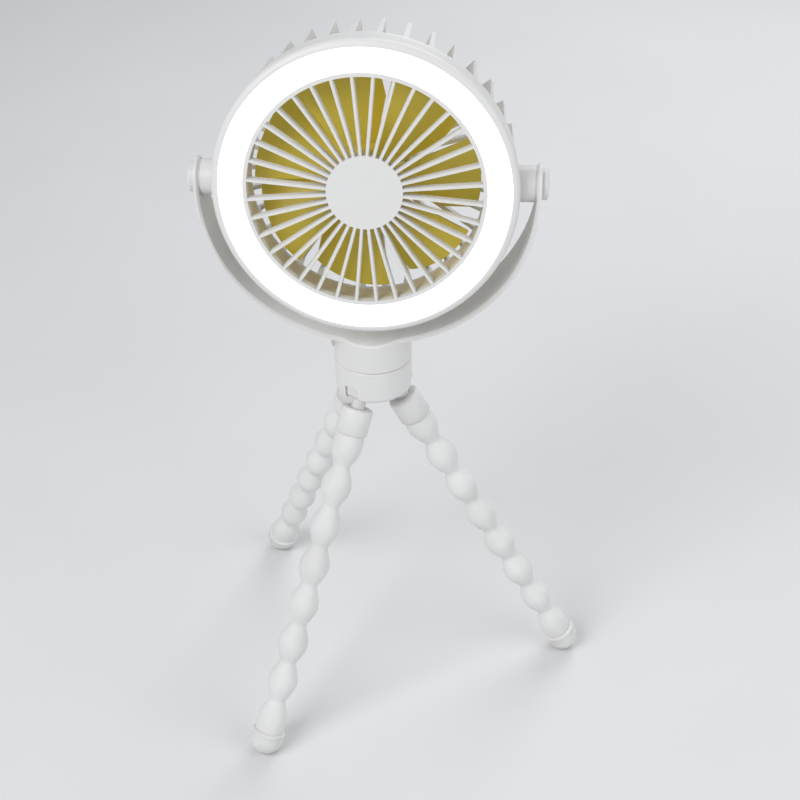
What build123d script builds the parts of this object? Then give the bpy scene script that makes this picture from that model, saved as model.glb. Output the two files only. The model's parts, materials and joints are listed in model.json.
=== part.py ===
from build123d import *
import os
from math import cos, hypot, radians, sin, sqrt

# A ring-light fan in a U-shaped yoke, on a round base with three bendable foam-covered legs.
# Millimetres, +Z up. The fan faces -Y. The origin is under the middle of the whole object, on the table.

# Fits
touch_gap = 0.05          # between faces that turn or slide on each other
running_fit = 0.04        # radial, on pins and shafts
seat_fit = 0.1            # between pieces that stay together
free_gap = 0.3            # between pieces that pass each other

# Legs
leg_azimuths = {"front": -121.4, "right": 0.5, "rear": 131.9}
leg_splay = 28.3          # from the vertical
leg_length = 172.4        # from the level of the hinge pin to the middle of the foot's dome
leg_offset = 3.8          # the leg's axis runs this far inside its hinge pin
foot_radius = 7.6
foot_lip_radius = 7.9
foot_lip_height = 2.2
foot_height = 5.9         # from the lip's edge to the middle of the dome
foot_flat = 0.5           # depth of the flat that the rubber stands on
foot_socket_depth = 7.0
bead_count = 8
bead_radius = 6.95
neck_radius = 3.7
bead_crown = 0.13         # half the length of a bead's crown, of the pitch
bead_flank = 0.32         # from a bead's middle to its shoulder, of the pitch
bead_shoulder = 0.55      # how far the shoulder swells from the neck to the crown
first_bead_gap = 6.5      # from the ferrule's end to the first bead's middle
last_bead_gap = 4.0       # from the last bead's middle to the foot
upper_bead_count = 4      # above the bend
ferrule_wall = 1.6
sleeve_sides = 16
bend_ball_radius = 3.6    # the lower half of a leg turns on this ball in its neck
bend_rim_angle = 60.0     # from the leg's axis to the rim of the socket
core_radius = 1.75
ferrule_radius = 6.9
ferrule_length = 12.3
ferrule_start = 7.9       # from the level of the hinge pin
ferrule_floor = 6.6       # thickness of its upper end, which holds the stem
ferrule_chamfer = 0.6
stem_radius = 3.1
knuckle_width = 6.2
knuckle_radius = 3.9

# Tripod hub
hub_wall = 5.15           # outside the hinge pins
hub_height = 16.6
hub_bottom_round = 3.0
hub_top_chamfer = 0.8
ferrule_room = 3.4        # keeps the legs apart below the hub
hinge_pin_radius = 1.0
hinge_pin_length = 11.0
hub_plate_rim = 3.95      # the hub's bottom edge round the plate
hub_plate_thickness = 2.4
slot_clearance = 0.2
slot_depth = 7.0          # inwards from the hinge pin
plate_screw_radius = 1.25
plate_screw_head_radius = 2.4
plate_screw_length = 6.0

# Swivel
swivel_gap = 0.4          # the line that shows between hub and base
swivel_post_radius = 4.5
swivel_ring_width = 4.0
swivel_ring_inset = 4.15  # from the hub's edge
washer_radius = 6.5
washer_thickness = 0.8
swivel_screw_radius = 1.5
swivel_screw_length = 9.0
swivel_head_radius = 2.8
swivel_head_height = 1.8

# Base, which is the foot of the yoke
base_wall = 1.95
base_height = 11.9        # to the underside of the yoke's band
base_roof = 0.4           # under the band
base_cover_thickness = 1.6
post_azimuths = (-90, 40, 140)
post_radius = 2.1
post_inset = 0.5          # between the posts and the wall's inside
cover_screw_radius = 0.8
cover_screw_head_radius = 1.5
cover_screw_length = 6.0
board_thickness = 1.0
battery_share = (1.02, 0.95, 0.46)   # of the base's inner radius, twice, and of its room
battery_set_forward = 0.13           # of the base's inner radius
port_width = 9.0
port_height = 3.2
port_depth = 7.6
port_wall = 0.35
button_share = 0.333      # its radius, of the base's room
button_level = 0.495      # its middle, up the base's room
button_proud = 1.0
button_travel = 0.6
button_flange_width = 0.4
button_flange_thickness = 0.8

# Yoke
yoke_clearance = 6.3      # round the head's rim
yoke_drop = 1.9           # the half ring's middle is this far below the pivots
yoke_thickness = 2.0
yoke_width = 24.0         # at the bottom
yoke_flare = 9.0          # radius where the band widens onto the base
yoke_bevel = 0.8          # along the band's inner edges
lug_radius = 8.6
pivot_cap_radius = 6.5
pivot_cap_height = 2.9
pivot_cap_chamfer = 0.8
pivot_cap_wall = 1.0
pivot_washer_thickness = 0.5
pivot_screw_radius = 2.0
pivot_screw_head_radius = 3.2
pivot_screw_head_height = 1.5
pivot_screw_depth = 7.0   # into the boss

# Head, along its own axis, forward from the pivot axis
head_tilt = 6.7           # at rest the fan looks up by this angle
face_front = 15.0         # the glowing ring's face
rim_radius = 63.2
rim_width = 3.2           # in front of the glowing ring
rim_round_share = 0.8     # of the rim's width
shell_taper = 1.2         # from the rim to the rear edge
shell_wall = 1.8
shell_rear = 2.2
lip_thickness = 1.8
boss_radius = 7.5
ear_radius = 8.2
ear_depth = 3.0           # behind the shell's outer face
light_width = 10.05
diffuser_thickness = 2.0
diffuser_flange = 1.6
diffuser_flange_width = 3.6
led_count = 24
led_size = (3.5, 3.0, 0.8)
led_board_thickness = 1.2
led_board_seat = 8.4
duct_wall = 1.7
duct_flange = 1.4
duct_foot_width = 1.6

# Grille
grille_ring_width = 1.75
spoke_count = 36
spoke_width = 1.5
spoke_front_width = 0.9
grille_hub_radius = 15.7
grille_hub_thickness = 2.2

# Rear cage
fin_count = 36
fin_thickness = 2.4       # at the ring
fin_rear_thickness = 1.6
fin_inset = 0.4           # inside the shell's rear edge
fin_taper = 1.2           # from the ring to the rear corner
fin_length = 27.0
fin_depth = 6.0           # radial, along the side
fin_rear_depth = 3.4      # axial, across the back
fin_corner = 1.0
motor_cup_radius = 17.0
motor_cup_wall = 1.7
motor_cup_depth = 14.0
motor_cup_floor = 2.0
screw_azimuths = (40, 140, 220, 320)
screw_post_radius = 2.5
screw_post_bite = 1.0     # how far the posts run into the shell's wall
screw_radius = 1.0
screw_head_radius = 1.9
screw_head_height = 1.3
screw_length = 6.0

# Motor and impeller
motor_length = 13.0
bearing_radius = 4.0
bearing_width = 2.5
shaft_radius = 1.5
shaft_front = 4.0
motor_screw_count = 3
motor_screw_circle = 9.0
blade_count = 7
blade_gap = 1.6           # between the blade tips and the duct
blade_thickness = 1.5
blade_angle = 20.0        # from the plane of rotation
blade_camber_radius = 60.0
blade_span = 50.0         # the part of the turn that one blade covers
impeller_hub_radius = 15.4
impeller_front = 6.0
impeller_depth = 15.0
impeller_wall = 1.6
impeller_boss_radius = 4.0

# Legs and hub, as they follow
splay_sin = sin(radians(leg_splay))
splay_cos = cos(radians(leg_splay))
ferrule_end = ferrule_start + ferrule_length
sleeve_collar_radius = ferrule_radius - ferrule_wall - seat_fit
foot_top = leg_length - foot_height
first_bead = ferrule_end + first_bead_gap
bead_pitch = (foot_top - last_bead_gap - first_bead) / (bead_count - 1)
bend_place = first_bead + (upper_bead_count - 1 / 2) * bead_pitch
azimuths = sorted(leg_azimuths.values())
narrowest = min((after - before) % 360 for before, after in zip(azimuths, azimuths[1:] + azimuths[:1]))
hinge_radius = ferrule_radius / sin(radians(narrowest / 2)) + ferrule_room
hinge_height = foot_radius - foot_flat + leg_length * splay_cos + leg_offset * splay_sin
hub_radius = hinge_radius + hub_wall
hub_plate_radius = hub_radius - hub_plate_rim
hub_bottom = hinge_height - hinge_pin_radius - hub_plate_thickness
hub_top = hub_bottom + hub_height
slot_inner_end = hinge_radius - slot_depth
slot_width = knuckle_width + 2 * slot_clearance
slot_roof = hinge_height + knuckle_radius + touch_gap

# Head, as it follows
shell_rear_radius = rim_radius - shell_taper
light_outer = rim_radius - rim_width
light_inner = light_outer - light_width
duct_radius = light_inner - grille_ring_width    # inside
duct_outer = duct_radius + duct_wall
blade_tip_radius = duct_radius - blade_gap
fin_outer_radius = shell_rear_radius - fin_inset
fin_rear_radius = fin_outer_radius - fin_taper
screw_circle = shell_rear_radius - shell_wall - screw_post_radius + screw_post_bite
lip_back = face_front - lip_thickness
diffuser_back = face_front - diffuser_thickness - diffuser_flange
cage_rear = -fin_length
motor_rear = cage_rear + motor_cup_floor
motor_front = motor_rear + motor_length

# Base and yoke, as they follow
base_bottom = hub_top + swivel_gap
base_ceiling = base_bottom + base_height - base_roof
cover_top = base_bottom + base_cover_thickness
base_room = base_ceiling - cover_top
base_inner_radius = hub_radius - base_wall
post_circle = base_inner_radius - post_inset - post_radius
battery_length = battery_share[0] * base_inner_radius
battery_width = battery_share[1] * base_inner_radius
battery_height = battery_share[2] * base_room
battery_middle_y = -battery_set_forward * base_inner_radius
button_radius = button_share * base_room
button_flange_radius = button_radius + button_flange_width
button_z = cover_top + button_level * base_room
yoke_inner_radius = rim_radius + yoke_clearance
yoke_outer_radius = yoke_inner_radius + yoke_thickness
yoke_middle_z = base_bottom + base_height + yoke_outer_radius
pivot_z = yoke_middle_z + yoke_drop
boss_end = yoke_inner_radius - pivot_washer_thickness - 2 * touch_gap


def turned(points):
    """A solid of revolution about Z from (radius, height) points."""
    return revolve(Plane.XZ * make_face(Polyline(*points, close=True)), Axis.Z)


def rod(radius, low, high):
    """A round rod along Z from one height to another."""
    return Pos(0, 0, low) * Cylinder(radius, high - low, align=(Align.CENTER, Align.CENTER, Align.MIN))


def block(x_range, y_range, z_range):
    """A block between the two limits on each axis."""
    ranges = (x_range, y_range, z_range)
    size = [high - low for low, high in ranges]
    middle = [(high + low) / 2 for low, high in ranges]
    return Pos(*middle) * Box(*size)


def around(radius, azimuths):
    """Places on a circle about Z, each turned to face outwards."""
    return [Rot(0, 0, azimuth) * Pos(radius, 0, 0) for azimuth in azimuths]


def along_x(shape, side):
    """Turns a piece made along Z to point outwards along X on the left (-1) or right (+1)."""
    return Rot(0, 90 * side, 0) * shape


def spread(count, first=0.0):
    """Evenly spaced azimuths."""
    return [first + 360 * index / count for index in range(count)]


def group(shapes):
    """Separate solids that share one node."""
    return Compound([solid for shape in shapes for solid in shape.solids()])


def in_head(shape):
    """Moves a piece from the head's own axes, Z forwards, to its place in the yoke."""
    tilt = radians(head_tilt)
    frame = Plane(origin=(0, 0, pivot_z), x_dir=(1, 0, 0), z_dir=(0, -cos(tilt), sin(tilt)))
    return frame.location * shape


def in_leg(shape, azimuth):
    """Moves a piece from the hinge pin's own axes, X outwards and Y along the pin, to its leg."""
    return Rot(0, 0, azimuth) * Pos(hinge_radius, 0, hinge_height) * shape


def on_leg_axis(shape):
    """Moves a piece made along Z from the hinge pin's level onto the slanting axis of the leg."""
    start = (-leg_offset * splay_cos, 0, -leg_offset * splay_sin)
    frame = Plane(origin=start, x_dir=(splay_cos, 0, splay_sin), z_dir=(splay_sin, 0, -splay_cos))
    return frame.location * shape


# Head


def front_shell():
    """Tapered outer ring with a rounded rim, screw posts inside and a pivot boss on each side."""
    inner_front = rim_radius - shell_wall
    inner_rear = shell_rear_radius - shell_wall
    ring = turned([
        (light_outer, lip_back), (light_outer, face_front), (rim_radius, face_front),
        (shell_rear_radius, shell_rear), (inner_rear, shell_rear), (inner_front, lip_back),
    ])
    front_edge = ring.edges().filter_by(GeomType.CIRCLE).sort_by(lambda edge: edge.radius)[-1]
    ring = fillet(front_edge, rim_round_share * rim_width)
    post_top = led_board_seat - duct_flange - seat_fit
    post = rod(screw_post_radius, shell_rear, post_top)
    ring += [place * post for place in around(screw_circle, screw_azimuths)]
    for side in (-1, 1):
        ear = rod(ear_radius, shell_rear_radius - ear_depth, shell_rear_radius)
        boss = rod(boss_radius, shell_rear_radius - ear_depth, boss_end)
        ring += along_x(ear + boss, side)
        ring -= along_x(rod(pivot_screw_radius, boss_end - pivot_screw_depth, boss_end), side)
    pilot = rod(screw_radius, shell_rear, shell_rear + screw_length)
    return ring - [place * pilot for place in around(screw_circle, screw_azimuths)]


def light_diffuser():
    """White ring with a flange behind the rim and a foot on the duct."""
    plate_back = face_front - diffuser_thickness
    flange_outer = rim_radius - shell_wall - free_gap
    flange_inner = flange_outer - diffuser_flange_width
    foot = light_inner + duct_foot_width
    outer = light_outer - seat_fit
    return turned([
        (light_inner, diffuser_back), (light_inner, face_front), (outer, face_front),
        (outer, lip_back - seat_fit), (flange_outer, lip_back - seat_fit), (flange_outer, diffuser_back),
        (flange_inner, diffuser_back), (flange_inner, plate_back), (foot, plate_back), (foot, diffuser_back),
    ])


def led_ring_radii():
    """Inner and outer corner radius of the led board, between the duct's foot and its upstand."""
    inner = light_inner + duct_foot_width + free_gap
    outer = rim_radius - shell_wall - free_gap - diffuser_flange_width - free_gap
    return inner / cos(radians(180 / led_count)), outer


def led_board():
    """Many-sided flat ring that carries the lights."""
    inner, outer = led_ring_radii()
    ring = RegularPolygon(outer, led_count) - RegularPolygon(inner, led_count)
    return Pos(0, 0, led_board_seat) * extrude(ring, led_board_thickness)


def leds():
    """The lights, one on each side of the board."""
    inner, outer = led_ring_radii()
    base = led_board_seat + led_board_thickness
    light = Pos(0, 0, base + led_size[2] / 2) * Box(led_size[1], led_size[0], led_size[2])
    middle = (inner + outer) / 2 * cos(radians(180 / led_count))
    places = around(middle, spread(led_count, 180 / led_count))
    return group([place * light for place in places])


def air_duct():
    """Tube round the impeller, with the flange that carries the led board and the diffuser."""
    flange_back = led_board_seat - duct_flange
    upstand_inner = rim_radius - shell_wall - free_gap - diffuser_flange_width
    upstand_outer = shell_rear_radius - ear_depth - free_gap
    foot = light_inner + duct_foot_width
    duct = turned([
        (duct_radius, shell_rear), (duct_radius, diffuser_back), (foot, diffuser_back),
        (foot, led_board_seat), (upstand_inner, led_board_seat), (upstand_inner, diffuser_back),
        (upstand_outer, diffuser_back), (upstand_outer, flange_back), (duct_outer, flange_back),
        (duct_outer, shell_rear),
    ])
    return duct


def front_grille():
    """Straight spokes between an outer ring and a plain hub disc."""
    spoke_back = diffuser_back
    ring = turned([
        (duct_radius, spoke_back), (duct_radius, face_front), (light_inner - seat_fit, face_front),
        (light_inner - seat_fit, spoke_back),
    ])
    hub = turned([
        (0, face_front - grille_hub_thickness), (0, face_front), (grille_hub_radius, face_front),
        (grille_hub_radius, spoke_back), (grille_hub_radius - grille_hub_thickness, spoke_back),
        (grille_hub_radius - grille_hub_thickness, face_front - grille_hub_thickness),
    ])
    half_front = spoke_front_width / 2
    half_back = spoke_width / 2
    section = make_face(Polyline(
        (-half_back, spoke_back), (-half_back, face_front - half_back), (-half_front, face_front),
        (half_front, face_front), (half_back, face_front - half_back), (half_back, spoke_back), close=True,
    ))
    root = grille_hub_radius - grille_hub_thickness / 2
    tip = duct_radius + (light_inner - duct_radius) / 2
    spoke = Pos(root, 0, 0) * extrude(Plane.YZ * section, tip - root)
    turns = spread(spoke_count, 180 / spoke_count)
    return ring + hub + [Rot(0, 0, turn) * spoke for turn in turns]


def fin_wedge():
    """The space of one fin seen from outside, thicker at the ring than at the back."""
    front = fin_thickness / 2
    rear = fin_rear_thickness / 2
    section = make_face(Polyline(
        (-rear, cage_rear), (rear, cage_rear), (front, shell_rear / 2), (-front, shell_rear / 2), close=True,
    ))
    return extrude(Plane.YZ * section, fin_outer_radius)


def rear_cage():
    """Ring, fins that turn in across the back, and the cup that holds the motor."""
    ring = turned([
        (duct_radius, 0), (duct_radius, shell_rear), (shell_rear_radius, shell_rear), (shell_rear_radius, 0),
    ])
    cup_inner = motor_cup_radius - motor_cup_wall
    cup_front = cage_rear + motor_cup_depth
    cup = turned([
        (0, cage_rear), (0, motor_rear), (cup_inner, motor_rear), (cup_inner, cup_front),
        (motor_cup_radius, cup_front), (motor_cup_radius, cage_rear),
    ])
    inside_rear = cage_rear + fin_rear_depth
    inner_radius = fin_rear_radius - fin_depth
    root = motor_cup_radius - motor_cup_wall / 2
    outline = make_face(Polyline(
        (root, cage_rear), (root, inside_rear), (inner_radius, inside_rear), (inner_radius, shell_rear / 2),
        (fin_outer_radius, shell_rear / 2), (fin_rear_radius, cage_rear), close=True,
    ))
    corner = outline.vertices().sort_by_distance((fin_rear_radius, cage_rear))[0]
    inner_corner = outline.vertices().sort_by_distance((inner_radius, inside_rear))[0]
    outline = fillet(corner, fin_corner)
    outline = fillet(outline.vertices().sort_by_distance(inner_corner)[0], fin_corner)
    fin = extrude(Plane.XZ * outline, fin_thickness / 2, both=True) & fin_wedge()
    cage = ring + cup + [Rot(0, 0, turn) * fin for turn in spread(fin_count, 180 / fin_count)]
    for side in (-1, 1):
        clear = rod(ear_radius + free_gap, shell_rear_radius - ear_depth - free_gap, rim_radius)
        cage -= along_x(clear, side)
    hole = rod(screw_radius + seat_fit, 0, shell_rear)
    cage -= [place * hole for place in around(screw_circle, screw_azimuths)]
    motor_hole = rod(screw_radius + seat_fit, cage_rear, motor_rear)
    return cage - [place * motor_hole for place in around(motor_screw_circle, spread(motor_screw_count))]


def screw(radius, length, head_radius, head_height):
    """A plain screw along Z: the head below zero, the shank above."""
    return rod(radius, 0, length) + rod(head_radius, -head_height, 0)


def cage_screws():
    """Screws from behind through the cage's ring into the shell's posts."""
    one = screw(screw_radius, screw_length, screw_head_radius, screw_head_height)
    return group([place * one for place in around(screw_circle, screw_azimuths)])


def motor_body():
    """Round motor with a bearing seat at each end."""
    radius = motor_cup_radius - motor_cup_wall - seat_fit
    step = bearing_width
    body = turned([
        (shaft_radius + free_gap, motor_rear + step), (bearing_radius, motor_rear + step),
        (bearing_radius, motor_rear), (radius, motor_rear), (radius, motor_front),
        (bearing_radius, motor_front), (bearing_radius, motor_front - step),
        (shaft_radius + free_gap, motor_front - step),
    ])
    pilot = rod(screw_radius, motor_rear, motor_rear + screw_length)
    return body - [place * pilot for place in around(motor_screw_circle, spread(motor_screw_count))]


def motor_bearings():
    """A bearing at each end of the motor."""
    outer = bearing_radius - running_fit / 2
    bearing = rod(outer, 0, bearing_width) - rod(shaft_radius + running_fit, 0, bearing_width)
    places = (motor_rear, motor_front - bearing_width)
    return group([Pos(0, 0, place) * bearing for place in places])


def motor_screws():
    """Screws from behind through the cup's floor into the motor."""
    reach = motor_cup_floor + screw_length - seat_fit
    one = Pos(0, 0, cage_rear) * screw(screw_radius, reach, screw_head_radius, screw_head_height)
    return group([place * one for place in around(motor_screw_circle, spread(motor_screw_count))])


def motor_shaft():
    """Shaft from the rear bearing to the impeller."""
    return rod(shaft_radius, motor_rear + touch_gap, shaft_front)


def blade():
    """A broad cambered blade, wider towards its tip."""
    middle = impeller_front - impeller_depth / 2
    slope = radians(blade_angle)
    curve = Cylinder(blade_camber_radius, 2 * blade_tip_radius)
    curve -= Cylinder(blade_camber_radius - blade_thickness, 2 * blade_tip_radius)
    centre = (0, blade_camber_radius * sin(slope), middle - blade_camber_radius * cos(slope))
    sheet = Pos(*centre) * Rot(0, 90, 0) * curve
    half = radians(blade_span / 2)
    reach = 2 * blade_tip_radius
    wedge = make_face(Polyline(
        (0, 0), (reach * cos(half), reach * sin(half)), (reach * cos(half), -reach * sin(half)), close=True,
    ))
    back = impeller_front - impeller_depth
    keep = rod(blade_tip_radius, back, impeller_front)
    keep -= rod(impeller_hub_radius - impeller_wall / 2, back, impeller_front)
    return sheet & keep & (Pos(0, 0, back) * extrude(wedge, impeller_depth))


def impeller():
    """Cup-shaped hub with broad curved blades."""
    back = impeller_front - impeller_depth
    inner = impeller_hub_radius - impeller_wall
    hub = turned([
        (0, impeller_front - impeller_wall), (0, impeller_front), (inner, impeller_front),
        (impeller_hub_radius, impeller_front - impeller_wall), (impeller_hub_radius, back), (inner, back),
        (inner, impeller_front - impeller_wall),
    ])
    boss = rod(impeller_boss_radius, back + impeller_wall, impeller_front - impeller_wall)
    wheel = hub + boss + [Rot(0, 0, turn) * blade() for turn in spread(blade_count)]
    return wheel - rod(shaft_radius, back, shaft_front)


def pivot_screws():
    """Shouldered screws through the yoke's lugs into the head's bosses."""
    start = boss_end - pivot_screw_depth + seat_fit
    head_from = yoke_outer_radius + touch_gap
    shank = rod(pivot_screw_radius, start, head_from)
    head = rod(pivot_screw_head_radius, head_from, head_from + pivot_screw_head_height)
    return group([along_x(shank + head, side) for side in (-1, 1)])


# Yoke and base


def yoke_band():
    """Half ring that runs up straight to a round lug at each end, and widens onto the base."""
    tube = Cylinder(yoke_outer_radius, 2 * hub_radius) - Cylinder(yoke_inner_radius, 2 * hub_radius)
    tube = Rot(90, 0, 0) * tube
    across = (-hub_radius, hub_radius)
    half = tube & block((-yoke_outer_radius, yoke_outer_radius), across, (-yoke_outer_radius, 0))
    upright = block((yoke_inner_radius, yoke_outer_radius), across, (0, yoke_drop))
    half += [upright, Rot(0, 0, 180) * upright]
    for side in (-1, 1):
        half += Pos(0, 0, yoke_drop) * along_x(rod(lug_radius, yoke_inner_radius, yoke_outer_radius), side)
    half_width = yoke_width / 2
    wide_from = -yoke_inner_radius / 2
    flank = make_face(Polyline(
        (-lug_radius, yoke_drop), (-half_width, wide_from), (-half_width, -yoke_outer_radius),
        (half_width, -yoke_outer_radius), (half_width, wide_from), (lug_radius, yoke_drop), close=True,
    ))
    outline = flank + Pos(0, yoke_drop) * Circle(lug_radius)
    side_view = extrude(Plane.YZ * outline, yoke_outer_radius, both=True)
    plan = Rectangle(2 * yoke_inner_radius, yoke_width) + Circle(hub_radius)
    inward = [v for v in plan.vertices() if abs(v.X) < yoke_inner_radius - yoke_flare]
    plan = fillet(inward, yoke_flare)
    saddle = extrude(plan, -2 * yoke_outer_radius) & tube
    near = sqrt(yoke_inner_radius**2 - wide_from**2)
    saddle &= block((-near, near), across, (-yoke_outer_radius, wide_from))
    return Pos(0, 0, yoke_middle_z) * ((half & side_view) + saddle)


def bevel_inner_edges(body):
    """Bevels the long edges of the band's inside, from lug to lug."""
    def is_long_edge(edge):
        ends = (edge @ 0, edge @ 1)
        inside = [abs(hypot(end.X, end.Z - yoke_middle_z) - yoke_inner_radius) < touch_gap for end in ends]
        return all(inside) and edge.length > 2 * yoke_bevel and abs((edge @ 0.5).Y) > lug_radius
    return chamfer(body.edges().filter_by(is_long_edge), yoke_bevel)


def yoke():
    """Band, saddle and hollow round foot in one moulding."""
    bowl = Pos(0, 0, yoke_middle_z) * Rot(90, 0, 0) * Cylinder(yoke_inner_radius, 2 * hub_radius)
    foot = rod(hub_radius, base_bottom, pivot_z) - bowl
    body = bevel_inner_edges(yoke_band() + foot)
    body -= rod(base_inner_radius, base_bottom, base_ceiling)
    post = rod(post_radius, cover_top, base_ceiling)
    post -= rod(cover_screw_radius, cover_top, cover_top + cover_screw_length)
    body += [place * post for place in around(post_circle, post_azimuths)]
    body -= button_axis(rod(button_radius + slot_clearance, base_inner_radius / 2, hub_radius))
    port_room = 2 * seat_fit
    body -= port_outline(port_width + port_room, port_height + port_room, base_inner_radius / 2, hub_radius)
    hole = rod(pivot_screw_radius + running_fit, yoke_inner_radius, yoke_outer_radius)
    hole += rod(boss_radius + free_gap, yoke_inner_radius - yoke_thickness, yoke_inner_radius)
    for side in (-1, 1):
        body -= Pos(0, 0, pivot_z) * along_x(hole, side)
    return body


def button_axis(shape):
    """Moves a piece made outwards along Z to the button's place on the left of the base."""
    return Pos(0, 0, button_z) * along_x(shape, -1)


def port_outline(width, height, start, end):
    """A round-ended bar along +Y under the board, where the charging port sits."""
    centre = base_ceiling - board_thickness - port_height / 2
    frame = Plane(origin=(0, start, centre), x_dir=(1, 0, 0), z_dir=(0, 1, 0))
    return extrude(frame * SlotOverall(width, height), end - start)


def base_cover():
    """Disc that closes the base and turns on the hub's post."""
    plate = rod(base_inner_radius - seat_fit, base_bottom, cover_top)
    plate -= rod(swivel_post_radius + running_fit, base_bottom, cover_top)
    places = around(post_circle, post_azimuths)
    return plate - [place * cover_screw_shape(seat_fit) for place in places]


def cover_screw_shape(extra):
    """A countersunk screw from below into a post, larger all round by the extra."""
    sink = cover_screw_head_radius - cover_screw_radius
    head = turned([
        (0, base_bottom), (cover_screw_head_radius + extra, base_bottom),
        (cover_screw_radius + extra, base_bottom + sink), (0, base_bottom + sink),
    ])
    tip = cover_top + cover_screw_length - free_gap
    return head + rod(cover_screw_radius + extra, base_bottom + sink, tip)


def cover_screws():
    """Countersunk screws that hold the cover to the posts."""
    return group([place * cover_screw_shape(0) for place in around(post_circle, post_azimuths)])


def switch_face():
    """Distance from the swivel axis to the switch that the button presses."""
    flange_outer = sqrt(base_inner_radius**2 - button_flange_radius**2) - slot_clearance
    return flange_outer - button_flange_thickness - button_travel - slot_clearance


def control_board():
    """Board against the base's ceiling, with a side switch and a tongue over the charging port."""
    low = base_ceiling - board_thickness
    front = battery_middle_y - battery_width / 2
    rear = battery_middle_y + battery_width / 2
    half_x = battery_length / 2
    board = block((-half_x, half_x), (front, rear), (low, base_ceiling))
    board += block((-switch_face(), -half_x), (-button_radius, button_radius), (low, base_ceiling))
    half_tongue = port_width / 2
    tongue_end = base_inner_radius - 2 * base_wall
    board += block((-half_tongue, half_tongue), (rear, tongue_end), (low, base_ceiling))
    switch_low = button_z - button_radius / 2
    switch_half = button_radius / 2
    switch = block((-switch_face(), -half_x - free_gap), (-switch_half, switch_half), (switch_low, low))
    return board + switch


def battery_cell():
    """Flat cell under the board."""
    level = base_ceiling - board_thickness - battery_height / 2
    cell = Pos(0, battery_middle_y, level) * Box(battery_length, battery_width, battery_height)
    return fillet(cell.edges().filter_by(Axis.X), battery_height / 4)


def charging_port():
    """Socket with an open mouth and a contact tongue, flush with the back of the base."""
    mouth = hub_radius - base_wall / 2
    back = mouth - port_depth
    shell = port_outline(port_width, port_height, back, mouth)
    inside = port_outline(port_width - 2 * port_wall, port_height - 2 * port_wall, back + port_wall, mouth)
    centre = base_ceiling - board_thickness - port_height / 2
    half_tongue = port_width / 3
    heights = (centre - port_wall, centre + port_wall)
    tongue = block((-half_tongue, half_tongue), (back, mouth - base_wall), heights)
    return shell - inside + tongue


def power_button():
    """Round button with a flange behind the wall."""
    flange_outer = switch_face() + slot_clearance + button_travel + button_flange_thickness
    stem = rod(button_radius, flange_outer - button_flange_thickness, hub_radius + button_proud)
    stem = chamfer(stem.edges().sort_by(Axis.Z)[-1], button_proud / 2)
    flange = rod(button_flange_radius, flange_outer - button_flange_thickness, flange_outer)
    return button_axis(stem + flange)


def pivot_cap(side):
    """Domed cover over a pivot screw's head."""
    outside = yoke_outer_radius + pivot_cap_height
    edge = pivot_cap_radius - pivot_cap_chamfer
    hollow = pivot_cap_radius - pivot_cap_wall
    cap = turned([
        (0, outside - pivot_cap_wall), (0, outside), (edge, outside),
        (pivot_cap_radius, outside - pivot_cap_chamfer), (pivot_cap_radius, yoke_outer_radius),
        (hollow, yoke_outer_radius), (hollow, outside - pivot_cap_wall),
    ])
    return Pos(0, 0, pivot_z) * along_x(cap, side)


def friction_washers():
    """Thin washers between the head's bosses and the yoke's lugs."""
    low = yoke_inner_radius - pivot_washer_thickness
    washer = rod(boss_radius, low, yoke_inner_radius)
    washer -= rod(pivot_screw_radius + running_fit, low, yoke_inner_radius)
    return group([Pos(0, 0, pivot_z) * along_x(washer, side) for side in (-1, 1)])


# Stand


def leg_slot(low, azimuth):
    """The slot that a leg's knuckle swings in."""
    cut = block((slot_inner_end, 2 * hub_radius), (-slot_width / 2, slot_width / 2), (low, slot_roof))
    return Rot(0, 0, azimuth) * cut


def tripod_hub():
    """Round hub with three slots, a groove for each hinge pin and the post that the base turns on."""
    hub = rod(hub_radius, hub_bottom, hub_top)
    hub = fillet(hub.edges().sort_by(Axis.Z)[0], hub_bottom_round)
    hub = chamfer(hub.edges().sort_by(Axis.Z)[-1], hub_top_chamfer)
    hub += rod(swivel_post_radius, hub_top, cover_top + touch_gap)
    plate_top = hub_bottom + hub_plate_thickness
    hub -= rod(hub_plate_radius + seat_fit, hub_bottom, plate_top)
    half_pin = hinge_pin_length / 2
    groove = block((-hinge_pin_radius, hinge_pin_radius), (-half_pin, half_pin), (plate_top, hinge_height))
    groove = Pos(hinge_radius, 0, 0) * (groove + Pos(0, 0, hinge_height) * pin_shape())
    for azimuth in leg_azimuths.values():
        hub -= leg_slot(hub_bottom, azimuth)
        hub -= Rot(0, 0, azimuth) * groove
    post_top = cover_top + touch_gap
    hub -= rod(swivel_screw_radius, post_top - swivel_screw_length, post_top)
    return hub - rod(plate_screw_radius, plate_top, plate_top + plate_screw_length)


def pin_shape():
    """A hinge pin along Y through the origin."""
    return Rot(90, 0, 0) * Cylinder(hinge_pin_radius, hinge_pin_length)


def hinge_pins():
    """The three pins that the legs swing on."""
    return group([in_leg(pin_shape(), azimuth) for azimuth in leg_azimuths.values()])


def plate_screw_shape(extra):
    """The countersunk screw in the middle of the hub's underside, larger all round by the extra."""
    sink = plate_screw_head_radius - plate_screw_radius
    head = turned([
        (0, hub_bottom), (plate_screw_head_radius + extra, hub_bottom),
        (plate_screw_radius + extra, hub_bottom + sink), (0, hub_bottom + sink),
    ])
    tip = hub_bottom + hub_plate_thickness + plate_screw_length - free_gap
    return head + rod(plate_screw_radius + extra, hub_bottom + sink, tip)


def hub_plate():
    """Plate that keeps the hinge pins in their grooves."""
    plate = rod(hub_plate_radius, hub_bottom, hub_bottom + hub_plate_thickness)
    for azimuth in leg_azimuths.values():
        plate -= leg_slot(hub_bottom, azimuth)
    return plate - plate_screw_shape(seat_fit)


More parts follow.
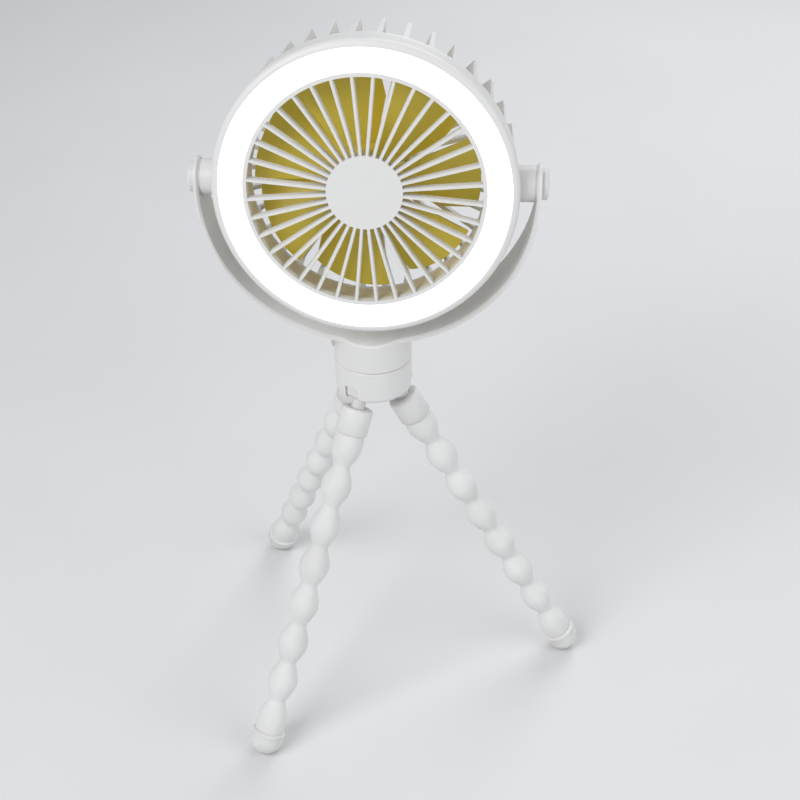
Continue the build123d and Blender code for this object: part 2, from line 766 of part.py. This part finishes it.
def swivel_ring():
    """Thin ring that the base slides on."""
    top = base_bottom - touch_gap
    outer = hub_radius - swivel_ring_inset
    return rod(outer, hub_top, top) - rod(outer - swivel_ring_width, hub_top, top)


def swivel_washer():
    """Washer on the post, which keeps the base down."""
    low = cover_top + touch_gap
    high = low + washer_thickness
    return rod(washer_radius, low, high) - rod(swivel_screw_radius, low, high)


def swivel_screw():
    """Screw that holds the washer to the hub's post."""
    post_top = cover_top + touch_gap
    head_low = post_top + washer_thickness
    head = rod(swivel_head_radius, head_low, head_low + swivel_head_height)
    return head + rod(swivel_screw_radius, post_top - swivel_screw_length + free_gap, head_low)


def leg_knuckle():
    """Flat tongue round the hinge pin, squared off at its stop, with the stem that holds the leg."""
    level = ferrule_start / 2
    along = Vector(splay_sin, -splay_cos)
    across = Vector(splay_cos, splay_sin)
    middle = across * -leg_offset + along * level
    near, far = middle - across * stem_radius, middle + across * stem_radius
    tongue = make_hull([Circle(knuckle_radius).edge(), Line((near.X, near.Y), (far.X, far.Y))])
    stop = Pos(knuckle_radius / 2, knuckle_radius / 2) * Rectangle(knuckle_radius, knuckle_radius)
    flat = extrude(Plane.XZ * (tongue + stop), knuckle_width / 2, both=True)
    stem = on_leg_axis(rod(stem_radius, level, ferrule_start + ferrule_floor))
    hole = on_leg_axis(rod(core_radius, ferrule_start, ferrule_start + ferrule_floor))
    bore = Rot(90, 0, 0) * Cylinder(hinge_pin_radius + running_fit, 2 * knuckle_width)
    return flat + stem - hole - bore


def leg_ferrule():
    """Sleeve that joins the stem to the foam-covered leg."""
    socket = ferrule_start + ferrule_floor
    edge = ferrule_radius - ferrule_chamfer
    inside = sleeve_collar_radius + seat_fit
    return on_leg_axis(turned([
        (stem_radius, ferrule_start), (edge, ferrule_start),
        (ferrule_radius, ferrule_start + ferrule_chamfer), (ferrule_radius, ferrule_end),
        (inside, ferrule_end), (inside, socket), (stem_radius, socket),
    ]))


def many_sided(profile):
    """A solid ring with flat sides from a closed loop of (radius, place) points about Z."""
    turns = [radians(azimuth) for azimuth in spread(sleeve_sides)]
    rings = [[(r * cos(turn), r * sin(turn), place) for turn in turns] for r, place in profile]
    faces = []
    for here, there in zip(rings, rings[1:] + rings[:1]):
        for side in range(sleeve_sides):
            corners = here[side - 1], here[side], there[side], there[side - 1]
            faces.append(Face(Wire.make_polygon(corners)))
    return Solid(Shell(faces))


def bead(index):
    """The swelling of one foam bead, as (radius, place) points."""
    middle = first_bead + index * bead_pitch
    shoulder = neck_radius + bead_shoulder * (bead_radius - neck_radius)
    near, far = bead_crown * bead_pitch, bead_flank * bead_pitch
    return [
        (shoulder, middle - far), (bead_radius, middle - near), (bead_radius, middle + near),
        (shoulder, middle + far),
    ]


def beads(first, count):
    """Foam beads in a row, with a neck between each two."""
    points = bead(first)
    for index in range(first + 1, first + count):
        points += [(neck_radius, first_bead + (index - 0.5) * bead_pitch), *bead(index)]
    return points


def on_ball(radius, angle, side):
    """A point of a ball in the bend, at an angle from the leg's axis, above (-1) or below (+1) its middle."""
    return radius * sin(radians(angle)), bend_place + side * radius * cos(radians(angle))


def upper_sleeve():
    """Foam beads from the ferrule down to the socket of the bend."""
    top = ferrule_start + ferrule_floor + free_gap
    bore = core_radius + seat_fit / 2
    seat = bend_ball_radius + free_gap
    profile = [
        (bore, top), (sleeve_collar_radius, top), (sleeve_collar_radius, ferrule_end),
        *beads(0, upper_bead_count), on_ball(seat, bend_rim_angle, -1),
        on_ball(seat, 2 / 3 * bend_rim_angle, -1), (bore, bend_place - sqrt(seat**2 - bore**2)),
    ]
    return on_leg_axis(many_sided(profile))


def lower_sleeve():
    """Foam beads from the ball of the bend down into the foot."""
    end = foot_top + foot_socket_depth
    bore = core_radius + seat_fit / 2
    profile = [
        (bore, end), (bore, bend_place - sqrt(bend_ball_radius**2 - bore**2)),
        on_ball(bend_ball_radius, bend_rim_angle, -1), (bend_ball_radius, bend_place),
        on_ball(bend_ball_radius, bend_rim_angle, 1),
        *beads(upper_bead_count, bead_count - upper_bead_count)[:-1],
        (sleeve_collar_radius, foot_top), (sleeve_collar_radius, end),
    ]
    return on_leg_axis(many_sided(profile))


def upper_core():
    """Stiff bendable wire from the stem to the bend."""
    end = bend_place - bend_ball_radius - free_gap
    return on_leg_axis(rod(core_radius - running_fit, ferrule_start + seat_fit, end))


def lower_core():
    """The wire below the bend."""
    start = bend_place - sqrt(bend_ball_radius**2 - core_radius**2) + seat_fit
    return on_leg_axis(rod(core_radius - running_fit, start, foot_top + foot_socket_depth))


def foot():
    """Rubber cap with a lip and a rounded end, flat where it stands."""
    body_top = foot_top + foot_lip_height
    steps = (90 + leg_splay) / 2, leg_splay
    dome = [
        (foot_radius * sin(radians(step)), leg_length + foot_radius * cos(radians(step))) for step in steps
    ]
    socket = sleeve_collar_radius + seat_fit
    socket_floor = foot_top + foot_socket_depth + seat_fit
    cap = turned([
        (socket, foot_top), (foot_lip_radius, foot_top), (foot_lip_radius, body_top),
        (foot_radius, body_top), (foot_radius, leg_length), *dome, (0, leg_length + foot_radius),
        (0, socket_floor), (socket, socket_floor),
    ])
    reach = 2 * foot_radius + leg_length
    ground = block((-reach, reach), (-reach, reach), (-hinge_height - reach, -hinge_height))
    return on_leg_axis(cap) - ground


def leg_pieces():
    """The pieces of one leg in its hinge pin's own axes, by name."""
    return {
        "leg_knuckle": leg_knuckle(),
        "leg_ferrule": leg_ferrule(),
        "upper_sleeve": upper_sleeve(),
        "lower_sleeve": lower_sleeve(),
        "upper_core": upper_core(),
        "lower_core": lower_core(),
        "foot": foot(),
    }


def all_pieces():
    """Every piece in its place about the swivel axis, by name."""
    head = [
        front_shell, light_diffuser, led_board, leds, air_duct, front_grille, rear_cage, cage_screws,
        motor_body, motor_bearings, motor_screws, motor_shaft, impeller,
    ]
    fixed = [
        yoke, base_cover, cover_screws, control_board, battery_cell, charging_port, power_button,
        friction_washers, tripod_hub, hinge_pins, hub_plate, swivel_ring, swivel_washer, swivel_screw,
    ]
    pieces = {make.__name__: in_head(make()) for make in head}
    pieces |= {make.__name__: make() for make in fixed}
    pieces["pivot_screws"] = in_head(pivot_screws())
    pieces["hub_plate_screw"] = plate_screw_shape(0)
    pieces["left_pivot_cap"] = pivot_cap(-1)
    pieces["right_pivot_cap"] = pivot_cap(1)
    for part, shape in leg_pieces().items():
        for leg, azimuth in leg_azimuths.items():
            pieces[f"{leg}_{part}"] = in_leg(shape, azimuth)
    return pieces


def footprint_middle(pieces):
    """The middle of the whole object's box, seen from above."""
    boxes = [shape.bounding_box() for shape in pieces.values()]
    x = min(box.min.X for box in boxes) + max(box.max.X for box in boxes)
    y = min(box.min.Y for box in boxes) + max(box.max.Y for box in boxes)
    return x / 2, y / 2


def main():
    pieces = all_pieces()
    middle_x, middle_y = footprint_middle(pieces)
    print("swivel axis at", round(-middle_x, 4), round(-middle_y, 4))
    os.makedirs("parts", exist_ok=True)
    for name, shape in pieces.items():
        export_step(Pos(-middle_x, -middle_y, 0) * shape, f"parts/{name}.step")


main()
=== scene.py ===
import json
from math import cos, pi, radians, sin

import bmesh
import bpy
from mathutils import Matrix, Vector

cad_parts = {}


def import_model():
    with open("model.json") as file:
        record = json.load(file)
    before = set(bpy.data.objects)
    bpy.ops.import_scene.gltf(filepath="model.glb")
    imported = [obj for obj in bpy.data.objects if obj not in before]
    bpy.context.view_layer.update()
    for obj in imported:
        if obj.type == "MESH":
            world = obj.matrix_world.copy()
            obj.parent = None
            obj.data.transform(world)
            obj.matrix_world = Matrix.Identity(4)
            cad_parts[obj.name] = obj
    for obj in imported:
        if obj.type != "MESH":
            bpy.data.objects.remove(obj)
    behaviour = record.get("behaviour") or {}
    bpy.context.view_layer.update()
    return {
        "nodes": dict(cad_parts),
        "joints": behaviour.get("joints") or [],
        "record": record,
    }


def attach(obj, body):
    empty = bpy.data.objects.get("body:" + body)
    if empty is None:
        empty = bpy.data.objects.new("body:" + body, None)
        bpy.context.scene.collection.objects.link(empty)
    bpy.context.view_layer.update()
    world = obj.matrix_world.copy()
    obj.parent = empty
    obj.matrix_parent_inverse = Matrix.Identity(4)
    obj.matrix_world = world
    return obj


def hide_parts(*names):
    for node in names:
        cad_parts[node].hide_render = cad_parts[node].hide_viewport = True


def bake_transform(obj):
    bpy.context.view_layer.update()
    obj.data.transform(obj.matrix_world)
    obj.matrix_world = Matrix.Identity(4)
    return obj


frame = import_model()
MM = 0.001

# Legs, in millimetres along each leg's axis from the level of its hinge pin
LEGS = {"front": -121.4, "right": 0.5, "rear": 131.9}
LEG_SPLAY = 28.3
FIRST_BEAD = 26.7
BEAD_PITCH = 19.4
BEAD_COUNT = 8
BEAD_RADIUS = 6.95
BEAD_FULLNESS = 0.6
NECK_RADIUS = 3.7
BEND_PLACE = FIRST_BEAD + 3.5 * BEAD_PITCH
STEM_RADIUS = 3.1
FERRULE_START = 8.3
FERRULE_END = 20.2
FERRULE_RADIUS = 7.4
FERRULE_ROUND = 1.5
FERRULE_DEPTH = 5
COLLAR_RADIUS = 5.9
SEAT_CLEARANCE = 0.1
FOOT_TOP = 168.4
FOOT_MIDDLE = 172.4
FOOT_RADIUS = 7.6
FOOT_LIP = 7.8
FOOT_LIP_WIDTH = 1.4
FOOT_SOCKET = FOOT_TOP + 4.5
FOAM_TUCK = 4
FOAM_TAPER = 0.3
FOAM_STEPS = 140
WIRE_RADIUS = 1.7
WIRE_START = FERRULE_END - 10
WIRE_END = FOOT_TOP + 4
WIRE_STEPS = 60

# Turned meshes: points around, the corners that are cut and by how many millimetres, and the weld in metres
AROUND = 40
SHARP_CORNER = radians(40)
CORNER_CUT = 0.06
LARGEST_CUT = 0.3
ON_AXIS = 1e-6
WELD = 1e-7

# The photograph's camera: degrees, millimetres from the foot of the swivel's axis, and its lens
CAMERA_AZIMUTH = 5.32
CAMERA_ELEVATION = 35.58
CAMERA_ROLL = -1.15
CAMERA_PLACE = (64.7, -572.0, 559.6)
CAMERA_LENS = 70.2
CAMERA_SENSOR = 36


# Materials


class Shader:
    """A node material built step by step. A method that makes a pattern or a colour returns its socket."""

    def __init__(self, name, roughness, metallic=0.0):
        self.material = bpy.data.materials.new(name)
        self.material.use_nodes = True
        self.tree = self.material.node_tree
        self.surface = self.tree.nodes["Principled BSDF"]
        self.surface.inputs["Roughness"].default_value = roughness
        self.surface.inputs["Metallic"].default_value = metallic
        self.place = self.node("ShaderNodeTexCoord").outputs["Object"]

    def node(self, kind, **settings):
        made = self.tree.nodes.new(kind)
        for name, value in settings.items():
            setattr(made, name, value)
        return made

    def link(self, source, target):
        self.tree.links.new(source, target)

    def noise(self, size_mm, detail=2.0, stretch=(1, 1, 1)):
        mapping = self.node("ShaderNodeMapping")
        mapping.inputs["Scale"].default_value = stretch
        self.link(self.place, mapping.inputs["Vector"])
        made = self.node("ShaderNodeTexNoise")
        made.inputs["Scale"].default_value = 1000 / size_mm
        made.inputs["Detail"].default_value = detail
        self.link(mapping.outputs["Vector"], made.inputs["Vector"])
        return made.outputs["Fac"]

    def cells(self, size_mm):
        made = self.node("ShaderNodeTexVoronoi")
        made.inputs["Scale"].default_value = 1000 / size_mm
        self.link(self.place, made.inputs["Vector"])
        return made.outputs["Distance"]

    def ramp(self, source, low, high, start=0.3, end=0.7):
        made = self.node("ShaderNodeValToRGB")
        made.color_ramp.elements[0].position = start
        made.color_ramp.elements[0].color = (*low, 1)
        made.color_ramp.elements[1].position = end
        made.color_ramp.elements[1].color = (*high, 1)
        self.link(source, made.inputs["Fac"])
        return made.outputs["Color"]

    def mix(self, factor, first, second, blend="MIX"):
        made = self.node("ShaderNodeMix", data_type="RGBA", blend_type=blend)
        for socket, value in ((made.inputs[0], factor), (made.inputs[6], first), (made.inputs[7], second)):
            if isinstance(value, bpy.types.NodeSocket):
                self.link(value, socket)
            else:
                socket.default_value = value
        return made.outputs[2]

    def painted_crevice_shade(self, distance_mm, low, high):
        """Painted shade: darker where faces meet closely, where shade gathers."""
        made = self.node("ShaderNodeAmbientOcclusion", samples=8)
        made.inputs["Distance"].default_value = distance_mm * MM
        return self.ramp(made.outputs["AO"], low, high, 0.25, 0.9)

    def colour(self, source):
        self.link(source, self.surface.inputs["Base Color"])

    def rough(self, source, low, high):
        made = self.node("ShaderNodeMapRange")
        made.inputs["To Min"].default_value = low
        made.inputs["To Max"].default_value = high
        self.link(source, made.inputs["Value"])
        self.link(made.outputs["Result"], self.surface.inputs["Roughness"])

    def bump(self, *layers):
        """Layers of (height, strength, depth in millimetres), each laid on the one before."""
        under = None
        for height, strength, depth in layers:
            made = self.node("ShaderNodeBump")
            made.inputs["Strength"].default_value = strength
            made.inputs["Distance"].default_value = depth * MM
            self.link(height, made.inputs["Height"])
            if under:
                self.link(under, made.inputs["Normal"])
            under = made.outputs["Normal"]
        self.link(under, self.surface.inputs["Normal"])


def moulded_plastic(name, colour, roughness, grain=0.5):
    """Satin moulded plastic: fine spark-eroded grain, slow flow marks, a little painted shade in the
    corners.
    """
    shader = Shader(name, roughness)
    warm = tuple(value * tint for value, tint in zip(colour, (1.0, 0.985, 0.955)))
    cloud = shader.ramp(shader.noise(45, 3), warm, colour)
    # Painted shade: the colour is darkened where faces meet closely.
    painted_shade = shader.painted_crevice_shade(3.5, (0.80, 0.79, 0.77), (1, 1, 1))
    shader.colour(shader.mix(0.8, cloud, painted_shade, "MULTIPLY"))
    shader.rough(shader.noise(9, 3), roughness - 0.06, roughness + 0.08)
    shader.bump((shader.noise(grain, 1), 0.22, 0.03), (shader.noise(24, 1), 0.08, 0.12))
    return shader.material


def foam():
    """Matte closed-cell foam with a fine skin of pores and soft dents."""
    shader = Shader("foam", 0.8)
    shader.surface.inputs["Sheen Weight"].default_value = 0.12
    cloud = shader.ramp(shader.noise(20, 3), (0.70, 0.695, 0.68), (0.775, 0.775, 0.765))
    # Painted shade: the colour is darkened a little where faces meet closely.
    painted_shade = shader.painted_crevice_shade(5, (0.93, 0.925, 0.91), (1, 1, 1))
    shader.colour(shader.mix(0.75, cloud, painted_shade, "MULTIPLY"))
    shader.rough(shader.noise(3, 2), 0.72, 0.9)
    shader.bump(
        (shader.cells(0.8), 0.3, 0.06), (shader.noise(0.5, 2), 0.2, 0.04), (shader.noise(7, 2), 0.15, 0.2)
    )
    return shader.material


def rubber():
    """Matte moulded rubber, darker towards the floor."""
    shader = Shader("foot_rubber", 0.7)
    cloud = shader.ramp(shader.noise(8, 3), (0.685, 0.68, 0.665), (0.75, 0.75, 0.74))
    # The colour is darker within the lowest five millimetres, towards the floor.
    split = shader.node("ShaderNodeSeparateXYZ")
    shader.link(shader.place, split.inputs["Vector"])
    height = shader.node("ShaderNodeMapRange")
    height.inputs["From Max"].default_value = 5 * MM
    shader.link(split.outputs["Z"], height.inputs["Value"])
    darker_near_floor = shader.ramp(height.outputs["Result"], (0.82, 0.81, 0.785), (1, 1, 1), 0.0, 1.0)
    shader.colour(shader.mix(1.0, cloud, darker_near_floor, "MULTIPLY"))
    shader.rough(shader.noise(2.5, 2), 0.6, 0.82)
    shader.bump((shader.noise(0.35, 2), 0.25, 0.03), (shader.noise(4, 2), 0.12, 0.1))
    return shader.material


def glowing_ring():
    """Milky diffuser that glows evenly."""
    shader = Shader("light", 0.35)
    shader.colour(shader.ramp(shader.noise(12, 2), (0.93, 0.93, 0.925), (0.96, 0.96, 0.955)))
    shader.surface.inputs["Emission Color"].default_value = (1.0, 1.0, 1.0, 1.0)
    shader.surface.inputs["Emission Strength"].default_value = 1.1
    shader.bump((shader.noise(0.6, 1), 0.15, 0.02))
    return shader.material


def metal(name, colour, roughness):
    """Plated metal with fine drawing marks."""
    shader = Shader(name, roughness, 1.0)
    darker = tuple(value * 0.82 for value in colour)
    marks = shader.noise(1.2, 3, (1, 1, 12))
    shader.colour(shader.ramp(shader.noise(3, 3), darker, colour))
    shader.rough(marks, roughness - 0.08, roughness + 0.12)
    shader.bump((marks, 0.12, 0.02))
    return shader.material


def board(name, colour, dark):
    """Lacquered circuit board with faint tracks under the lacquer."""
    shader = Shader(name, 0.4)
    tracks = shader.noise(2.5, 0, (1, 4, 1))
    shader.colour(shader.ramp(tracks, dark, colour, 0.47, 0.53))
    shader.rough(shader.noise(1.5, 2), 0.32, 0.5)
    shader.bump((tracks, 0.2, 0.03))
    return shader.material


WHITE = (0.74, 0.74, 0.735)
MATERIALS = {
    "white_shell": moulded_plastic("white_shell", WHITE, 0.42),
    "inner_plastic": moulded_plastic("inner_plastic", (0.66, 0.60, 0.48), 0.5),
    "yellow_blades": moulded_plastic("yellow_blades", (0.80, 0.65, 0.08), 0.34, 0.8),
    "button_plastic": moulded_plastic("button_plastic", (0.70, 0.70, 0.70), 0.36, 0.4),
    "light": glowing_ring(),
    "foam": foam(),
    "foot_rubber": rubber(),
    "steel": metal("steel", (0.60, 0.60, 0.61), 0.34),
    "motor_case": metal("motor_case", (0.50, 0.50, 0.52), 0.4),
    "wire": metal("wire", (0.72, 0.72, 0.73), 0.3),
    "circuit_board": board("circuit_board", (0.72, 0.74, 0.70), (0.58, 0.62, 0.57)),
    "led": moulded_plastic("led", (0.82, 0.76, 0.42), 0.3, 0.3),
    "cell_wrap": metal("cell_wrap", (0.55, 0.58, 0.62), 0.3),
}


def dress_cad_nodes():
    """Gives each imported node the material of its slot."""
    for part in frame["record"]["subparts"]:
        node = frame["nodes"][part["node"]]
        node.data.materials.clear()
        node.data.materials.append(MATERIALS[part["material_slot"]])


# Turned pieces


def eased(profile):
    """The outline with each sharp corner cut by a hair, so that smooth shading keeps to its own face."""
    points = [Vector(point) for point in profile]
    outline = [points[0]]
    for before, here, after in zip(points, points[1:], points[2:]):
        come, go = here - before, after - here
        if come.angle(go) < SHARP_CORNER:
            outline.append(here)
            continue
        outline.append(here - come * min(CORNER_CUT / come.length, LARGEST_CUT))
        outline.append(here + go * min(CORNER_CUT / go.length, LARGEST_CUT))
    return outline + [points[-1]]


def turned(name, profile, place, slot):
    """A smooth piece turned about Z from (radius, height) points in millimetres, moved to its place."""
    mesh = bmesh.new()
    turns = [2 * pi * step / AROUND for step in range(AROUND)]
    rings = []
    for radius, height in eased(profile):
        if radius < ON_AXIS:
            rings.append([mesh.verts.new((0, 0, height * MM))])
            continue
        rings.append([
            mesh.verts.new((radius * cos(turn) * MM, radius * sin(turn) * MM, height * MM)) for turn in turns
        ])
    for low, high in zip(rings, rings[1:]):
        for step in range(AROUND):
            after = (step + 1) % AROUND
            corners = [
                low[step % len(low)], low[after % len(low)], high[after % len(high)], high[step % len(high)],
            ]
            corners = list(dict.fromkeys(corners))
            if len(corners) > 2:
                mesh.faces.new(corners)
    bmesh.ops.remove_doubles(mesh, verts=mesh.verts, dist=WELD)
    bmesh.ops.recalc_face_normals(mesh, faces=mesh.faces)
    data = bpy.data.meshes.new(name)
    mesh.to_mesh(data)
    mesh.free()
    data.polygons.foreach_set("use_smooth", [True] * len(data.polygons))
    data.transform(place)
    data.materials.append(MATERIALS[slot])
    piece = bpy.data.objects.new(name, data)
    bpy.context.scene.collection.objects.link(piece)
    return piece


def joint_place(name):
    return Vector(next(joint["pos_m"] for joint in frame["joints"] if joint["name"] == name))


def leg_place(leg):
    """The leg's axis as a matrix: Z runs down the leg from the level of its hinge pin."""
    azimuth, splay = radians(LEGS[leg]), radians(LEG_SPLAY)
    outward = Vector((cos(azimuth), sin(azimuth), 0))
    down = outward * sin(splay) + Vector((0, 0, -cos(splay)))
    across = outward * cos(splay) + Vector((0, 0, sin(splay)))
    side = down.cross(across)
    origin = joint_place(f"{leg}_leg_bend") - down * BEND_PLACE * MM
    matrix = Matrix((across, side, down)).transposed().to_4x4()
    matrix.translation = origin
    return matrix


def ferrule_profile():
    """Sleeve with a rounded shoulder round the stem, open towards the foam."""
    inside = COLLAR_RADIUS + SEAT_CLEARANCE
    middle = FERRULE_RADIUS - FERRULE_ROUND
    turns = [radians(angle) for angle in range(0, 91, 15)]
    shoulder = [
        (middle + FERRULE_ROUND * sin(turn), FERRULE_START + FERRULE_ROUND * (1 - cos(turn)))
        for turn in turns
    ]
    floor_place = FERRULE_END - FERRULE_DEPTH
    return [
        (STEM_RADIUS, floor_place), (STEM_RADIUS, FERRULE_START), *shoulder, (FERRULE_RADIUS, FERRULE_END),
        (inside, FERRULE_END), (inside, floor_place), (STEM_RADIUS, floor_place),
    ]


def bead_radius(place):
    """Radius of the foam along the leg: round beads with soft necks, and wide ends at ferrule and foot."""
    step = (place - FIRST_BEAD) / BEAD_PITCH
    beyond = step - min(max(step, 0), BEAD_COUNT - 1)
    step -= beyond / 2
    swell = (0.5 + 0.5 * cos(2 * pi * step)) ** BEAD_FULLNESS
    return NECK_RADIUS + (BEAD_RADIUS - NECK_RADIUS) * swell


def foam_profile():
    """Closed outline of the foam, from inside the ferrule to inside the foot."""
    start, end = FERRULE_END - FOAM_TUCK, FOOT_TOP + FOAM_TUCK
    first, last = FERRULE_END + SEAT_CLEARANCE, FOOT_TOP - SEAT_CLEARANCE
    places = [first + (last - first) * step / FOAM_STEPS for step in range(FOAM_STEPS + 1)]
    outside = [(bead_radius(place), place) for place in places]
    tip, seat = COLLAR_RADIUS - FOAM_TAPER, COLLAR_RADIUS - SEAT_CLEARANCE
    return [
        (0, start), (tip, start), (seat, FERRULE_END), *outside, (seat, FOOT_TOP), (tip, end), (0, end),
    ]


def foot_profile():
    """Rubber cap with a rounded lip that hugs the foam, and a round end."""
    inside = COLLAR_RADIUS + SEAT_CLEARANCE
    turns = [radians(angle) for angle in range(0, 91, 15)]
    lip = [(FOOT_LIP - FOOT_LIP_WIDTH * (1 - sin(turn)), FOOT_TOP + 0.7 - cos(turn)) for turn in turns]
    neck = [(FOOT_LIP, FOOT_TOP + 1.0), (FOOT_LIP - 0.06, FOOT_TOP + 1.3), (FOOT_RADIUS, FOOT_TOP + 1.6)]
    turns = [radians(angle) for angle in range(0, 90, 6)]
    dome = [(FOOT_RADIUS * cos(turn), FOOT_MIDDLE + FOOT_RADIUS * sin(turn)) for turn in turns]
    return [
        (0, FOOT_SOCKET), (inside, FOOT_SOCKET), (inside, FOOT_TOP), *lip, *neck, *dome,
        (0, FOOT_MIDDLE + FOOT_RADIUS),
    ]


def dress_leg(leg):
    """Ferrule, foam, wire and rubber foot of one leg."""
    place = leg_place(leg)
    ferrule = turned(f"{leg}_ferrule", ferrule_profile(), place, "white_shell")
    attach(ferrule, f"{leg}_leg")
    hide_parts(f"{leg}_leg_ferrule")
    sleeve = turned(f"{leg}_foam", foam_profile(), place, "foam")
    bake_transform(sleeve)
    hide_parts(f"{leg}_upper_sleeve", f"{leg}_lower_sleeve")
    heights = [WIRE_START + (WIRE_END - WIRE_START) * step / WIRE_STEPS for step in range(WIRE_STEPS + 1)]
    outline = [(0, heights[0]), *((WIRE_RADIUS, height) for height in heights), (0, heights[-1])]
    wire = turned(f"{leg}_wire", outline, place, "wire")
    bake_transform(wire)
    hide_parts(f"{leg}_upper_core", f"{leg}_lower_core")
    cap = turned(f"{leg}_rubber_cap", foot_profile(), place, "foot_rubber")
    for vertex in cap.data.vertices:
        vertex.co.z = max(vertex.co.z, 0.0)
    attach(cap, f"{leg}_tip")
    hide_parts(f"{leg}_foot")


# Stage


def floor():
    """Pale matte table."""
    bpy.ops.mesh.primitive_plane_add(size=8, location=(0, 0, -0.0002))
    plane = bpy.context.object
    plane.name = "floor"
    shader = Shader("floor", 0.6)
    shader.colour(shader.ramp(shader.noise(180, 3), (0.70, 0.70, 0.705), (0.725, 0.725, 0.73)))
    shader.rough(shader.noise(6, 2), 0.55, 0.7)
    shader.bump((shader.noise(1.5, 2), 0.05, 0.05))
    plane.data.materials.append(shader.material)


def lamp(name, place, target, size, power):
    """A soft square lamp that points at its target."""
    data = bpy.data.lights.new(name, "AREA")
    data.size = size
    data.energy = power
    made = bpy.data.objects.new(name, data)
    made.location = place
    made.rotation_euler = (Vector(target) - Vector(place)).to_track_quat("-Z", "Y").to_euler()
    bpy.context.scene.collection.objects.link(made)


def world():
    """Even, dim light from all round, with a paler backdrop for the camera alone."""
    made = bpy.data.worlds.new("studio")
    bpy.context.scene.world = made
    made.use_nodes = True
    nodes, links = made.node_tree.nodes, made.node_tree.links
    light = nodes["Background"]
    light.inputs["Color"].default_value = (0.92, 0.95, 1.0, 1)
    light.inputs["Strength"].default_value = 0.42
    seen = nodes.new("ShaderNodeBackground")
    seen.inputs["Color"].default_value = (0.80, 0.81, 0.83, 1)
    paths = nodes.new("ShaderNodeLightPath")
    mix = nodes.new("ShaderNodeMixShader")
    links.new(paths.outputs["Is Camera Ray"], mix.inputs["Fac"])
    links.new(light.outputs["Background"], mix.inputs[1])
    links.new(seen.outputs["Background"], mix.inputs[2])
    links.new(mix.outputs["Shader"], nodes["World Output"].inputs["Surface"])


def camera():
    """The photograph's view: place, direction, roll and lens."""
    azimuth, elevation, roll = map(radians, (CAMERA_AZIMUTH, CAMERA_ELEVATION, CAMERA_ROLL))
    back = Vector((sin(azimuth) * cos(elevation), -cos(azimuth) * cos(elevation), sin(elevation)))
    level = Vector((cos(azimuth), sin(azimuth), 0))
    above = back.cross(level)
    right = level * cos(roll) + above * sin(roll)
    up = above * cos(roll) - level * sin(roll)
    matrix = Matrix((right, up, back)).transposed().to_4x4()
    swivel = joint_place("base_swivel")
    matrix.translation = Vector((swivel.x, swivel.y, 0)) + Vector(CAMERA_PLACE) * MM
    data = bpy.data.cameras.new("camera")
    data.sensor_width = CAMERA_SENSOR
    data.lens = CAMERA_LENS
    made = bpy.data.objects.new("camera", data)
    made.matrix_world = matrix
    bpy.context.scene.collection.objects.link(made)
    bpy.context.scene.camera = made


dress_cad_nodes()
for leg_name in LEGS:
    dress_leg(leg_name)
floor()
world()
lamp("key", (-0.75, -0.85, 1.15), (0, 0, 0.17), 0.9, 13)
lamp("fill", (1.0, -0.5, 0.7), (0, 0, 0.17), 1.0, 5)
lamp("back", (0.35, 1.0, 0.9), (0, 0, 0.2), 0.8, 6)
camera()
bpy.context.scene.view_settings.view_transform = "Standard"
